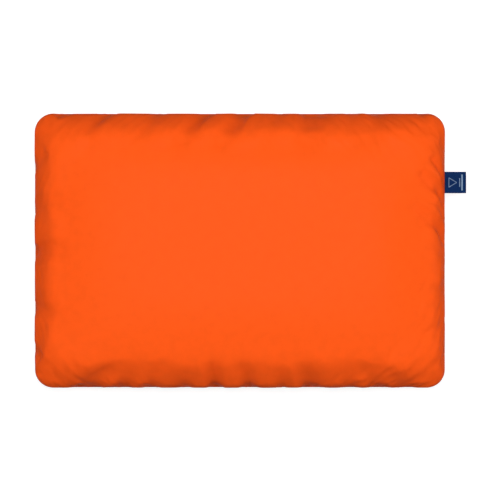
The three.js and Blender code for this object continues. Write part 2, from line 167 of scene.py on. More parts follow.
def cut_ring(slope, arc):
    """Half sizes and corner radius of a ring on the flat cut."""
    half_y = slope["half_y"] + slope["spare"] - arc
    return slope["half_x"] + slope["spare"] - arc, half_y, corner_radius(along_slope(slope, arc)[0], half_y)


def body_ring(slope, arc):
    """Half sizes, corner radius and height of a ring on the pillow."""
    inset, height = along_slope(slope, arc)
    half_y = slope["half_y"] - inset
    return slope["half_x"] - inset, half_y, corner_radius(inset, half_y), SEAM_HEIGHT + slope["side"] * height


def ring_points(slope, fine=FINE, coarse=COARSE):
    """Evenly spread points in rings, each as its arc length from the seam, its stretch and its share."""
    points, arc, odd = [], slope["first"], False
    while cut_ring(slope, arc)[1] > coarse / 2:
        gap = fine + (coarse - fine) * float(smooth(FADE, 1.7 * FADE, arc))
        for stretch, length in enumerate(stretch_lengths(*cut_ring(slope, arc))):
            count = max(1, round(length / gap))
            points += [(arc, stretch, (i + 0.5 * odd) / count) for i in range(count)]
        arc, odd = arc + gap * ROW, not odd
    return points


def columns(points):
    """The values of many points, each kind in its own array."""
    return tuple(np.array(values) for values in zip(*points))


def on_cut(slope, arc, stretch, share):
    return on_ring(*cut_ring(slope, arc), stretch, share)


def swelling(slope, arc, stretch, share):
    """How far the filling pushes the cloth out at its shoulder, and how far it falls in below it."""
    if "shoulders" not in slope:
        return np.zeros(len(arc))
    quarter, corner = stretch // 2, stretch % 2 == 1
    before = np.array(slope["shoulders"])[quarter] * MM
    after = np.array(slope["shoulders"])[(quarter + 1) % 4] * MM
    shoulder = np.where(corner, before + (after - before) * share, before)
    x, y = on_ring(*body_ring(slope, 0 * arc)[:3], stretch, share)
    waver = np.sin(x / (21 * MM) + 1.3) + np.sin(y / (17 * MM) + 0.4) + 0.8 * np.sin((x + y) / (11 * MM))
    shoulder = shoulder + SHOULDER_WAVER * waver
    out = SHOULDER_RISE * np.exp(-(((arc - shoulder) / SHOULDER_WIDTH) ** 2))
    fall = FLANK_FALL * np.exp(-(((arc - shoulder + FLANK_BELOW) / FLANK_WIDTH) ** 2))
    return out - fall * smooth(0, 10 * MM, arc)


def on_body(slope, arc, stretch, share, swollen=True):
    half_x, half_y, radius, height = body_ring(slope, arc)
    step = 0.5 * MM
    inset, rise = (np.array(after) - before for after, before in
                   zip(along_slope(slope, arc + step), along_slope(slope, arc - step)))
    swell = swelling(slope, arc, stretch, share) * swollen / np.hypot(inset, rise)
    out, up = swell * rise, swell * inset * slope["side"]
    x, y = on_ring(half_x + out, half_y + out, radius + out, stretch, share)
    return np.stack([x, y, height + up], axis=1)


def spare_along(folds, way, place, arc):
    """How far its spare length has shifted the cloth along a side, at places along that side's stretch."""
    shift = np.zeros(len(place))
    for middle, spare, width, lean in folds:
        along = place / MM - way * (middle - lean * arc / MM)
        shift += LOOSE_SHARE * 0.5 * spare * MM * np.tanh(along / width)
    return shift


def at_rest(slope, folds, arc, stretch, share):
    """The shape in which the cloth is unstrained: wider than the pillow by the spare cloth at its seam."""
    half_x, half_y, radius, _ = body_ring(slope, arc)
    x, y = on_ring(half_x, half_y, radius, stretch, share)
    quarter = stretch // 2
    spare = [LOOSE_SHARE * (sum(fold[1] for fold in folds[name]) * MM) / 2 for name, _ in ROUND]
    out, side = np.zeros(len(arc)), np.zeros(len(arc))
    for q, (name, way) in enumerate(ROUND):
        after = spare[(q + 1) % 4]
        corner = (quarter == q) & (stretch % 2 == 1)
        side[corner], out[corner] = spare[q], after
        straight = (quarter == q) & (stretch % 2 == 0)
        run = ((half_y if q % 2 == 0 else half_x) - radius)[straight]
        place = (2 * share[straight] - 1) * run
        side[straight] = spare_along(folds[name], way, place, arc[straight])
        out[straight] = spare[q - 1] + (after - spare[q - 1]) * share[straight]
    turn = quarter * math.pi / 2
    full = 1 - smooth(FIRST_ARC, FADE, arc)
    x = x + full * (out * np.cos(turn) - side * np.sin(turn))
    y = y + full * (out * np.sin(turn) + side * np.cos(turn))
    steps = slope["table"]["arc"]
    widened = slope["table"]["inset"] - sum(spare) / 4 * (1 - smooth(FIRST_ARC, FADE, steps))
    rise = np.sqrt(np.clip(np.diff(steps) ** 2 - np.diff(widened) ** 2, 0, None))
    height = np.interp(arc, steps, np.concatenate([[0], np.cumsum(rise)]))
    return np.stack([x, y, SEAM_HEIGHT + slope["side"] * height], axis=1)


# ---- The cloth simulation ----

FRAMES = 30
GATHERED = 12  # the frame at which the seam has reached its sewn length
CLOTH_SETTINGS = {
    "quality": 6, "mass": 0.1, "pin_stiffness": 4, "air_damping": 2,
    "tension_stiffness": 30, "compression_stiffness": 30, "shear_stiffness": 8, "bending_stiffness": 1.5,
    "tension_damping": 8, "compression_damping": 8, "shear_damping": 4, "bending_damping": 0.5,
}
HELD_FROM, HELD_TO = 66 * MM, 96 * MM  # the inner pillow's flat holds the cloth from here on
FILLING, FLAT_FILLING = 0.42, 0.8  # how firmly the inner pillow holds the cloth on its slopes and on its flat
PRESSURE = 30
START_LIFT = 1.7  # the depth of a fold's hollow before the cloth is gathered, for each metre of spare cloth
KEPT_LIFT = 1.1  # and the depth at which the filling then holds it
HOLLOW_WIDTH = 1.35
BETWEEN = 1.1 * MM  # how far the cloth stands out between the hollows
PUCKERS_FULL = 14 * MM  # the hollows are at their deepest this far from the seam
PUCKERS_END = 44 * MM, 74 * MM  # and they fade between these distances
AMPLIFY = 1.7  # how much the settled cloth's shift is strengthened
MOST_IN, MOST_OUT = 4.6 * MM, 3.5 * MM  # its limits
MOST_IN_ON_FLAT = 1.2 * MM  # where the inner pillow lies close under the cloth
RIPPLE, RIPPLE_REACH, RIPPLE_SCALE = 1.5 * MM, 11 * MM, 85


def new_object(name, data):
    made = bpy.data.objects.new(name, data)
    bpy.context.scene.collection.objects.link(made)
    return made


def mesh_object(name, points, faces, smoothly=True):
    mesh = bpy.data.meshes.new(name)
    mesh.from_pydata([tuple(point) for point in points], [], [tuple(face) for face in faces])
    mesh.validate()
    if smoothly:
        mesh.shade_smooth()
    return new_object(name, mesh)


def outward_normals(points, faces):
    """Each point's normal, from its faces' areas."""
    a, b, c = (points[faces[:, i]] for i in range(3))
    across = np.cross(b - a, c - a)
    normals = np.zeros_like(points)
    for i in range(3):
        np.add.at(normals, faces[:, i], across)
    return normals / np.maximum(np.linalg.norm(normals, axis=1, keepdims=True), 1e-12)


def loose_cloth(loose, sewn, faces, held):
    """A cloth that is ready to be gathered. held is 1 where it is sewn down, and less where it is pressed."""
    cloth = mesh_object("cloth", loose, faces)
    cloth.shape_key_add(name="Basis")
    key = cloth.shape_key_add(name="sewn")
    key.data.foreach_set("co", sewn.astype(np.float32).ravel())
    for frame_number, value in ((1, 0), (GATHERED, 1)):
        key.value = value
        key.keyframe_insert("value", frame=frame_number)
    group = cloth.vertex_groups.new(name="held")
    for i, weight in enumerate(held):
        if weight > 0:
            group.add([i], float(weight), "REPLACE")
    modifier = cloth.modifiers.new("cloth", "CLOTH")
    settings = modifier.settings
    settings.vertex_group_mass = "held"
    for name, value in CLOTH_SETTINGS.items():
        setattr(settings, name, value)
    settings.use_pressure = True
    settings.uniform_pressure_force = PRESSURE
    settings.effector_weights.gravity = 0
    modifier.collision_settings.use_collision = False
    modifier.point_cache.frame_start = 1
    modifier.point_cache.frame_end = FRAMES
    return cloth


def settled(cloth):
    """The points after the cloth has been gathered from its loose shape into its sewn one and has settled."""
    for step in range(1, FRAMES + 1):
        bpy.context.scene.frame_set(step)
    shape = cloth.evaluated_get(bpy.context.evaluated_depsgraph_get())
    mesh = cloth.data
    points = np.zeros(len(mesh.vertices) * 3, np.float32)
    shape.data.vertices.foreach_get("co", points)
    action = mesh.shape_keys.animation_data.action
    bpy.data.objects.remove(cloth)
    bpy.data.meshes.remove(mesh)
    bpy.data.actions.remove(action)
    bpy.context.scene.frame_set(1)
    return points.reshape(-1, 3).astype(float)


# ---- The cover's panels ----

PAST_OUTLINE = 0.3 * MM  # the most that the cloth may pass the seam's outline
SEAM_STRETCH = 1.02  # the seam allowance's places on the flat cut, over its places on the pillow
ZIP_DROP = 24 * MM  # the chain's line below the seam
WINDOW_HALF_LENGTH, WINDOW_HALF_WIDTH = 170 * MM, 6 * MM  # the slot in the cloth that shows the zip
ZIP_ARC = float(np.interp(ZIP_DROP, BOTTOM["table"]["height"], BOTTOM["table"]["arc"]))
WINDOW_SPACING, WINDOW_CLEAR = 2.4 * MM, 1.6 * MM  # between points on its edge, and to the nearest others
SEWN_BY_WINDOW = 4 * MM, 22 * MM  # from its edge: the cloth is sewn flat up to here, and free from there
HEM_RISE = 0.4 * MM  # what the turned-in cloth adds round the window
HEM_START, HEM_END = (-0.4 * MM, 1.2 * MM), (4.6 * MM, 6 * MM)  # where it rises and where it ends
FRONT = 6  # the straight stretch of a ring on the zip's side
LABEL_PLACE = 76 * MM  # along Y
CALM_ALONG = 16 * MM, 26 * MM  # from the label's middle: the cloth is calmed up to here, and free from there
CALM_UP = 14 * MM, 28 * MM  # the same, from the seam
CALM_IN, CALMED = 25 * MM, 0.8  # how far in from the seam, and how much of its folds goes


def front_point(slope, x, arc):
    """The ring point at an x on the zip's side."""
    half_x, _, radius, _ = body_ring(slope, arc)
    return arc, FRONT, (x / (half_x - radius) + 1) / 2


def from_window(slope, arc, stretch, share):
    """Distances from the window's edge, less than 0 inside it."""
    half_x, _, radius, _ = body_ring(slope, arc)
    x = (2 * share - 1) * (half_x - radius)
    past_end = np.maximum(np.abs(x) - (WINDOW_HALF_LENGTH - WINDOW_HALF_WIDTH), 0)
    return np.where(stretch == FRONT, np.hypot(past_end, arc - ZIP_ARC) - WINDOW_HALF_WIDTH, 1)


def window_outline(outside, spacing):
    """Ring points all the way round the window, that far outside its edge."""
    reach, radius = WINDOW_HALF_LENGTH - WINDOW_HALF_WIDTH, WINDOW_HALF_WIDTH + outside
    along = np.linspace(-reach, reach, round(2 * reach / spacing), endpoint=False)
    turn = np.linspace(0, math.pi, max(6, round(math.pi * radius / spacing)), endpoint=False)
    near = [(x, ZIP_ARC - radius) for x in along]
    far = [(-x, ZIP_ARC + radius) for x in along]
    right = [(reach + radius * math.sin(a), ZIP_ARC - radius * math.cos(a)) for a in turn]
    left = [(-reach - radius * math.sin(a), ZIP_ARC + radius * math.cos(a)) for a in turn]
    return [front_point(BOTTOM, x, arc) for x, arc in near + right + far + left]


def random_folds(seed, sides):
    """Folds spread unevenly along the sides, which are given as half lengths in millimetres."""
    draw = random.Random(seed)
    folds = {}
    for name, half in sides.items():
        folds[name], place = [], -half + draw.uniform(5, 15)
        while place < half:
            lean = 0.8 * place / half + draw.uniform(-0.4, 0.4)
            folds[name].append((place, draw.uniform(0.8, 2.6), draw.uniform(6, 9), lean))
            place += draw.uniform(28, 46)
    return folds


def puckers(slope, folds, arc, stretch, share):
    """How far the cloth stands off the pillow between the folds' hollows, and how far it is in at them."""
    half_x, half_y, radius, _ = body_ring(slope, arc)
    lift = np.zeros(len(arc))
    for q, (name, way) in enumerate(ROUND):
        here = stretch == 2 * q
        run = ((half_y if q % 2 == 0 else half_x) - radius)[here]
        place = (2 * share[here] - 1) * run / MM
        for middle, spare, width, lean in folds[name]:
            along = place - way * (middle - lean * arc[here] / MM)
            lift[here] -= spare * MM * np.exp(-((along / (HOLLOW_WIDTH * width)) ** 2))
    return (lift + BETWEEN) * smooth(0, PUCKERS_FULL, arc) * (1 - smooth(*PUCKERS_END, arc))


def flat_faces(slope, points, outline=0):
    """Triangles between ring points, laid out on the flat cut, with the last ones as a hole's edge."""
    arc, stretch, share = columns(points)
    x, y = on_cut(slope, arc, stretch, share)
    first = len(points) - outline
    edges = [(first + i, first + (i + 1) % outline) for i in range(outline)]
    faces = np.array(delaunay_2d_cdt([Vector(place) for place in zip(x, y)], edges, [], 0, 1e-9)[2])
    if outline:
        middle = [values[faces].mean(axis=1) for values in (x, y)]
        hole = np.stack([x[first:], y[first:]], axis=1)
        faces = faces[~inside(hole, *middle)]
    return faces if slope["side"] > 0 else faces[:, ::-1]


def inside(outline, x, y):
    """Whether each point is inside a closed outline."""
    within = np.zeros(len(x), bool)
    for (ax, ay), (bx, by) in zip(outline, np.roll(outline, -1, axis=0)):
        crosses = (ay > y) != (by > y)
        if ay != by:
            within ^= crosses & (x < (bx - ax) * (y - ay) / (by - ay) + ax)
    return within


def seam_ripple(body, arc):
    """The short ripples that the sewing draws up beside the seam."""
    waves = [noise.noise(Vector(place) * RIPPLE_SCALE) + 0.6 * noise.noise(Vector(place) * RIPPLE_SCALE * 2.1)
             for place in body * (1, 1, 0.25)]
    return RIPPLE * np.array(waves) * np.exp(-arc / RIPPLE_REACH) * smooth(FIRST_ARC, 5 * MM, arc)


def evened(values, faces):
    """Values averaged once with their neighbours', which takes out waves as short as the mesh's edges."""
    here, there = np.concatenate([faces[:, pair] for pair in ([0, 1], [1, 2], [2, 0])]).T
    count = np.bincount(here, minlength=len(values))[:, None]
    total = np.zeros_like(values)
    np.add.at(total, here, values[there])
    return (values + total / np.maximum(count, 1)) / 2


def gathered(slope, folds, places, faces, free):
    """Where the cloth's points come to rest. free is 0 where the cloth is sewn flat."""
    arc = places[0]
    body = on_body(slope, *places)
    normals = outward_normals(body, faces)
    lift = puckers(slope, folds, *places)[:, None] * normals
    spread = at_rest(slope, folds, *places) - on_body(slope, *places, False)
    loose = body + (spread + START_LIFT * lift) * free[:, None]
    sewn = body + KEPT_LIFT * lift * free[:, None]
    held = FILLING + (FLAT_FILLING - FILLING) * smooth(HELD_FROM, HELD_TO, arc)
    held = np.where(arc <= slope["first"] + 0.01 * MM, 1, held + (1 - held) * (1 - free))
    shift = evened(settled(loose_cloth(loose, sewn, faces, held)) - body, faces) * (held < 1)[:, None]
    out = (shift * normals).sum(axis=1)
    aside = shift - out[:, None] * normals
    steep = np.hypot(normals[:, 0], normals[:, 1])
    most = np.where(out < 0, MOST_IN_ON_FLAT + (MOST_IN - MOST_IN_ON_FLAT) * steep, MOST_OUT)
    out = most * np.tanh(AMPLIFY * out / most) + seam_ripple(body, arc)
    out = np.minimum(out, along_slope(slope, arc)[0] + 0.1 * MM)  # so that the seam stays the outline
    return body + (aside + out[:, None] * normals) * free[:, None]


def outline_ring(inset, height, places):
    """Points that far in from the pillow's outline, at their stretches and shares and one height or many."""
    half_y = HALF_WIDTH - inset
    x, y = on_ring(HALF_LENGTH - inset, half_y, corner_radius(inset, half_y), *places)
    return np.stack([x, y, np.broadcast_to(height, len(x))], axis=1)


def seam_loops(side, level, places):
    """The loops that carry a panel's edge round into the seam and back inside the pillow."""
    turn = np.linspace(0, math.pi / 2, 5)[1:]
    roll = [(SEAM_ROLL * (1 - math.cos(a)), SEAM_ROLL * math.sin(a)) for a in turn]
    flat = [(SEAM_ALLOWANCE * part, SEAM_ROLL) for part in (0.4, 0.7, 0.95)]
    return [outline_ring(inset, level - side * down, places) for inset, down in roll + flat]


def with_seam(slope, points, placed, faces):
    """A panel's places and faces with the seam allowance that starts at its first ring."""
    count = sum(arc == points[0][0] for arc, _, _ in points)
    _, *places = columns(points[:count])
    loops = seam_loops(slope["side"], placed[:count, 2], places)
    placed_loops = np.concatenate([placed] + loops)
    outer = np.arange(count)
    for i in range(len(loops)):
        inner = len(placed) + i * count + np.arange(count)
        a, b, c, d = outer, np.roll(outer, -1), np.roll(inner, -1), inner
        quads = [(a, d, b), (b, d, c)] if slope["side"] > 0 else [(a, b, d), (b, c, d)]
        faces = np.concatenate([faces] + [np.stack(quad, axis=1) for quad in quads])
        outer = inner
    return placed_loops, faces


def lay_uv(piece, places):
    """Gives each corner of a mesh its place on the flat cut, in metres."""
    layer = piece.data.uv_layers.new(name="cut")
    corners = np.zeros(len(piece.data.loops), np.int32)
    piece.data.loops.foreach_get("vertex_index", corners)
    layer.data.foreach_set("uv", places[corners].astype(np.float32).ravel())


def thicken(piece, thickness):
    modifier = piece.modifiers.new("thickness", "SOLIDIFY")
    modifier.thickness = thickness
    modifier.offset = -1
    modifier.use_rim = True
    modifier.use_quality_normals = True
    shape = piece.evaluated_get(bpy.context.evaluated_depsgraph_get())
    thin, mesh = piece.data, bpy.data.meshes.new_from_object(shape)
    piece.modifiers.clear()
    piece.data = mesh
    bpy.data.meshes.remove(thin)


def cover_panel(name, slope, folds):
    points, outline = ring_points(slope), []
    if slope is BOTTOM:
        clear = from_window(slope, *columns(points)) > WINDOW_CLEAR
        outline = window_outline(0, WINDOW_SPACING)
        points = [point for point, keep in zip(points, clear) if keep] + outline
    faces = flat_faces(slope, points, len(outline))
    places = columns(points)
    edge = from_window(slope, *places) if slope is BOTTOM else np.full(len(points), np.inf)
    placed = gathered(slope, folds, places, faces, smooth(*SEWN_BY_WINDOW, edge))
    placed = calm_by_label(placed, on_body(slope, *places))
    raised = HEM_RISE * (1 - smooth(*HEM_END, edge)) * smooth(*HEM_START, edge)
    placed += raised[:, None] * outward_normals(placed, faces)
    most = np.array([HALF_LENGTH + PAST_OUTLINE, HALF_WIDTH + PAST_OUTLINE, np.inf])
    all_placed, faces = with_seam(slope, points, np.clip(placed, -most, most), faces)
    piece = mesh_object(name, all_placed, faces)
    cut = np.stack(on_cut(slope, *places), axis=1)
    lay_uv(piece, np.concatenate([cut, SEAM_STRETCH * all_placed[len(cut):, :2]]))
    thicken(piece, CLOTH)
    return piece


def calm_by_label(placed, body):
    """Keeps the cloth's folds low where the label bends up and down against the seam."""
    along = 1 - smooth(*CALM_ALONG, np.abs(body[:, 1] - LABEL_PLACE))
    up = 1 - smooth(*CALM_UP, np.abs(body[:, 2] - SEAM_HEIGHT))
    near = along * up * (body[:, 0] > HALF_LENGTH - CALM_IN)
    return placed + (body - placed) * CALMED * near[:, None]


# ---- Materials ----

class Look:
    """A material's node tree, with short calls to add and join nodes."""

    def __init__(self, name, color, roughness, specular, sheen=0.0):
        self.material = bpy.data.materials.new(name)
        self.material.use_nodes = True
        self.tree = self.material.node_tree
        self.shader = self.tree.nodes["Principled BSDF"]
        self.color = color
        self.set("Base Color", (*color, 1))
        self.set("Roughness", roughness)
        self.set("Specular IOR Level", specular)
        self.set("Sheen Weight", sheen)

    def set(self, socket, value):
        """Gives the shader a number, a colour or another node's output."""
        self.plug(value, self.shader.inputs[socket])

    def add(self, kind, sockets=None, **settings):
        """A new node. A socket's value may be a number, a colour or another node's output."""
        node = self.tree.nodes.new(kind)
        for name, value in settings.items():
            setattr(node, name, value)
        for name, value in (sockets or {}).items():
            self.plug(value, node.inputs[name])
        return node

    def plug(self, value, socket):
        if isinstance(value, bpy.types.NodeSocket):
            self.tree.links.new(value, socket)
        else:
            socket.default_value = value

    def math(self, operation, a, b=0.0):
        return self.add("ShaderNodeMath", {0: a, 1: b}, operation=operation).outputs[0]

    def noise(self, place, scale, detail, output="Fac"):
        sockets = {"Vector": place, "Scale": scale, "Detail": detail}
        return self.add("ShaderNodeTexNoise", sockets).outputs[output]

    def ramp(self, value, low, high):
        """0 where value is at low and 1 at high."""
        sockets = {"Value": value, "From Min": low, "From Max": high}
        return self.add("ShaderNodeMapRange", sockets).outputs[0]

    def shade(self, share, factor):
        """Darkens the colour, to factor times itself where share is 1."""
        darker = [factor * channel for channel in self.color]
        sockets = {"Factor": share, 6: (*self.color, 1), 7: (*darker, 1)}
        self.set("Base Color", self.add("ShaderNodeMix", sockets, data_type="RGBA").outputs[2])

    def bump(self, height, distance, strength):
        sockets = {"Height": height, "Distance": distance, "Strength": strength}
        for link in self.shader.inputs["Normal"].links:
            sockets["Normal"] = link.from_socket
        self.set("Normal", self.add("ShaderNodeBump", sockets).outputs[0])

    def object_place(self):
        return self.add("ShaderNodeTexCoord").outputs["Object"]

    def stretched(self, place, scale):
        return self.add("ShaderNodeMapping", {"Vector": place, "Scale": scale}).outputs[0]

    def axes(self, place):
        return self.add("ShaderNodeSeparateXYZ", {0: place}).outputs

    def wave(self, value, period):
        """A sine wave, from -1 to 1."""
        return self.math("SINE", self.math("MULTIPLY", value, 2 * math.pi / period))

    def ridges(self, value, period):
        """The same wave, from 0 to 1."""
        return self.math("MULTIPLY_ADD", self.wave(value, period), 0.5)


def plain_weave(look, place, thread):
    """The height of a plain weave's threads, from 0 to 1."""
    axes = look.axes(place)
    over = look.math("MULTIPLY", *[look.wave(axes[i], 2 * thread) for i in (0, 1)])
    return look.math("MULTIPLY_ADD", over, 0.5)


COVER_COLOR = 0.86, 0.0875, 0.0082
LABEL_COLOR = 0.0018, 0.021, 0.095
THREAD_COLOR, MOTIF_COLOR = (0.78, 0.08, 0.01), (0.17, 0.27, 0.4)
BINDING_COLOR, ZIP_TAPE_COLOR, CARE_COLOR = (0.62, 0.07, 0.008), (0.58, 0.065, 0.008), (0.86, 0.86, 0.84)
NYLON_COLOR, METAL_COLOR = (0.62, 0.075, 0.01), (0.56, 0.55, 0.53)
LINER_COLOR, FIBRE_COLOR, FOAM_COLOR = (0.8, 0.79, 0.76), (0.88, 0.88, 0.86), (0.84, 0.76, 0.54)


def cover_cloth():
    look = Look("cover_cloth", COVER_COLOR, 0.86, 0.01, 0.02)
    look.set("Sheen Roughness", 0.5)
    look.set("Sheen Tint", (1.0, 0.25, 0.08, 1))
    cut = look.add("ShaderNodeUVMap", uv_map="cut").outputs[0]
    weave = plain_weave(look, cut, 0.42 * MM)
    slubs = look.noise(cut, 90, 4)
    look.shade(look.ramp(slubs, 0.35, 0.7), 0.95)
    look.set("Roughness", look.ramp(weave, -0.2, 1.6))
    look.bump(look.noise(cut, 60, 3), 0.5 * MM, 0.25)
    look.bump(weave, 0.05 * MM, 0.35)
    return look.material


def stripes(look, place, axis, period):
    """Ridges across an axis (0 for X), from 0 to 1."""
    return look.ridges(look.axes(place)[axis], period)


def twill(look, place, period, slant=1.0):
    """Diagonal ridges over X and the way up the piece, from 0 to 1."""
    x, y, z = look.axes(place)
    across = look.math("MULTIPLY", look.math("ADD", y, z), slant)
    return look.ridges(look.math("ADD", x, across), period)


def tape_cloth(name, color, roughness, period, herringbone):
    """A narrow woven tape, with a twill that may zigzag."""
    look = Look(name, color, roughness, 0.15, 0.05)
    place = look.object_place()
    ridges = twill(look, place, period)
    if herringbone:
        back = twill(look, place, period, -1.0)
        rows = look.math("GREATER_THAN", stripes(look, place, 2, 8 * period), 0.5)
        ridges = look.add("ShaderNodeMix", {"Factor": rows, 2: ridges, 3: back}).outputs[0]
    look.shade(look.ramp(ridges, 0.0, 1.0), 0.86)
    look.bump(look.noise(place, 300, 2), 0.1 * MM, 0.3)
    look.bump(ridges, 0.12 * MM, 0.5)
    return look.material


def label_cloth():
    """Damask: a close satin ground over fine ribs."""
    look = Look("label_damask", LABEL_COLOR, 0.62, 0.04)
    place = look.object_place()
    satin = twill(look, place, 0.5 * MM, 0.5)
    look.shade(look.ramp(look.noise(place, 900, 2), 0.3, 0.7), 0.7)
    look.bump(satin, 0.06 * MM, 0.35)
    look.bump(stripes(look, place, 1, 0.33 * MM), 0.04 * MM, 0.4)
    return look.material


def satin_thread(name, color, roughness, period):
    """Laid or twisted thread, whose strands run across it."""
    look = Look(name, color, roughness, 0.3, 0.1)
    strands = twill(look, look.object_place(), period, 0.8)
    look.shade(look.ramp(strands, 0.2, 1.0), 0.72)
    look.bump(strands, 0.05 * MM, 0.6)
    return look.material


def nylon():
    look = Look("nylon_teeth", NYLON_COLOR, 0.38, 0.45)
    look.set("Subsurface Weight", 0.05)
    look.set("Subsurface Radius", (1.2 * MM, 0.4 * MM, 0.2 * MM))
    place = look.object_place()
    look.shade(look.ramp(look.noise(place, 400, 2), 0.3, 0.7), 0.82)
    look.bump(look.noise(place, 1800, 2), 0.03 * MM, 0.3)
    return look.material


def brushed_metal():
    """Nickel-plated zinc, finely tumbled, duller where it has been handled."""
    look = Look("plated_metal", METAL_COLOR, 0.3, 0.5)
    look.set("Metallic", 1.0)
    place = look.object_place()
    worn = look.noise(place, 220, 4)
    look.shade(look.ramp(worn, 0.45, 0.75), 0.72)
    rough = look.add("ShaderNodeMapRange", {"Value": worn, "To Min": 0.24, "To Max": 0.46})
    look.set("Roughness", rough.outputs[0])
    grain = look.stretched(place, (200, 2400, 2400))
    look.bump(look.noise(grain, 1, 2), 0.02 * MM, 0.25)
    return look.material


def bonded_cloth():
    """Thin spun-bonded liner cloth, pressed in a grid of small dots."""
    look = Look("liner_cloth", LINER_COLOR, 0.88, 0.15)
    place = look.object_place()
    across = look.math("MULTIPLY", stripes(look, place, 0, 2.2 * MM), stripes(look, place, 1, 2.2 * MM))
    dots = look.ramp(across, 0.55, 0.85)
    look.shade(dots, 0.9)
    look.bump(look.noise(place, 700, 4), 0.12 * MM, 0.4)
    look.bump(look.math("SUBTRACT", 1.0, dots), 0.12 * MM, 0.5)
    return look.material


def fibre_fill():
    """Hollow polyester fibre: matted, with loose ends."""
    look = Look("fibre_fill", FIBRE_COLOR, 0.95, 0.1, 0.35)
    look.set("Sheen Roughness", 0.5)
    place = look.object_place()
    bent = look.noise(place, 35, 2, "Color")
    flow = look.add("ShaderNodeVectorMath", {0: bent, 1: (0.02, 0.02, 0.02)}, operation="MULTIPLY")
    moved = look.add("ShaderNodeVectorMath", {0: place, 1: flow.outputs[0]}, operation="ADD")
    strands = look.noise(look.stretched(moved.outputs[0], (90, 1100, 1100)), 1, 3)
    look.shade(look.ramp(strands, 0.35, 0.65), 0.88)
    look.bump(look.noise(place, 60, 4), 1.5 * MM, 0.5)
    look.bump(strands, 0.4 * MM, 0.6)
    return look.material


def open_foam():
    """Cut polyurethane foam, with open cells and a few bigger voids, and painted shade in the cells' pits."""
    look = Look("open_foam", FOAM_COLOR, 0.95, 0.1)
    place = look.object_place()
    cells = look.add("ShaderNodeTexVoronoi", {"Vector": place, "Scale": 900.0}).outputs["Distance"]
    voids = look.add("ShaderNodeTexVoronoi", {"Vector": place, "Scale": 140.0}).outputs["Distance"]
    # painted shade: the colour darkens towards each cell's middle, where the bump below sinks into a pit
    look.shade(look.ramp(cells, 0.5, 0.1), 0.72)
    look.bump(look.ramp(voids, 0.05, 0.16), 0.6 * MM, 0.6)
    look.bump(cells, 0.3 * MM, 0.7)
    return look.material


def all_looks():
    return {
        "cover": cover_cloth(),
        "thread": satin_thread("sewing_thread", THREAD_COLOR, 0.55, 0.5 * MM),
        "motif": satin_thread("motif_thread", MOTIF_COLOR, 0.5, 0.4 * MM),
        "binding": tape_cloth("binding_tape", BINDING_COLOR, 0.85, 0.9 * MM, False),
        "zip_tape": tape_cloth("zip_tape", ZIP_TAPE_COLOR, 0.82, 0.8 * MM, True),
        "care": tape_cloth("care_tape", CARE_COLOR, 0.6, 0.4 * MM, False),
        "label": label_cloth(),
        "nylon": nylon(),
        "metal": brushed_metal(),
        "liner": bonded_cloth(),
        "fibre": fibre_fill(),
        "foam": open_foam(),
    }


# ---- The pieces ----

def dress(piece, material, body, slot_name, *nodes):
    """Gives a piece its material and its body if one is given, and hides the CAD nodes that it stands for.
    slot_name is not used.
    """
    piece.data.materials.clear()
    piece.data.materials.append(material)
    if body:
        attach(piece, body)
    if nodes:
        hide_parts(*nodes)


def add_cover(cloth):
    """The cover's two panels, the lower of which is handed back."""
    bottom_folds = random_folds(7, {"right": 130, "back": 205, "left": 130, "front": 205})
    for name, slope, folds in (("top", TOP, TOP_FOLDS), ("bottom", BOTTOM, bottom_folds)):
        panel = cover_panel("cover_" + name, slope, folds)
        dress(panel, cloth, "pillow", "cover_fabric", f"cover_{name}_panel")
    return panel


# ---- Lofts, tubes and stitches ----

def loft(stations, capped=True):
    """Points and faces of a skin over closed stations, which all have the same number of points."""
    count = len(stations[0])
    points = [tuple(point) for station in stations for point in station]
    faces = []
    for i in range(len(stations) - 1):
        for j in range(count):
            a, b = i * count + j, i * count + (j + 1) % count
            faces.append((a, b, b + count, a + count))
    if capped:
        last = (len(stations) - 1) * count
        faces.append(tuple(range(count))[::-1])
        faces.append(tuple(last + j for j in range(count)))
    return points, faces


def tube(path, radii, sides, across):
    """A round tube along a path. across is a direction that the path never runs in."""
    path = np.asarray(path, float)
    along = np.gradient(path, axis=0)
    along /= np.linalg.norm(along, axis=1, keepdims=True)
    side = np.cross(along, across)
    side /= np.linalg.norm(side, axis=1, keepdims=True)
    up = np.cross(side, along)
    turn = np.arange(sides) * 2 * math.pi / sides
    radii = np.broadcast_to(radii, len(path))
    return loft([p + r * (np.outer(np.cos(turn), u) + np.outer(np.sin(turn), v))
                 for p, r, u, v in zip(path, radii, up, side)])


def joined(parts):
    """One set of points and faces out of many."""
    points, faces = [], []
    for more_points, more_faces in parts:
        faces += [tuple(i + len(points) for i in face) for face in more_faces]
        points += more_points
    return points, faces


THREAD = 0.24 * MM  # radius of the sewing thread
STITCH_GAP = 0.8 * MM
WINDOW_STITCH_LINE, WINDOW_STITCH = 3.4 * MM, 2.4 * MM  # from the window's edge, and a stitch's length


def stitches(path, normals, stitch):
    """A row of stitches along a path on the cloth, each dipping into the cloth at its two ends."""
    path, normals = np.asarray(path, float), np.asarray(normals, float)
    run = np.concatenate([[0], np.cumsum(np.linalg.norm(np.diff(path, axis=0), axis=1))])
    count = int(run[-1] // (stitch + STITCH_GAP))
    share = np.linspace(0, 1, 6)
    rise = THREAD * (1.3 * np.sin(math.pi * share) - 0.9)
    radii = THREAD * (0.7 + 0.3 * np.sin(math.pi * share))
    parts = []
    for i in range(count):
        at = (i + 0.5) * run[-1] / count + (share - 0.5) * stitch
        place = np.stack([np.interp(at, run, path[:, k]) for k in range(3)], axis=1)
        normal = np.stack([np.interp(at, run, normals[:, k]) for k in range(3)], axis=1)
        across = np.cross(normal[2], place[-1] - place[0])
        parts.append(tube(place + rise[:, None] * normal, radii, 6, across))
    return joined(parts)


def made(name, shape):
    piece = mesh_object(name, *shape)
    piece.data.set_sharp_from_angle(angle=math.radians(50))
    return piece


# ---- The zip ----

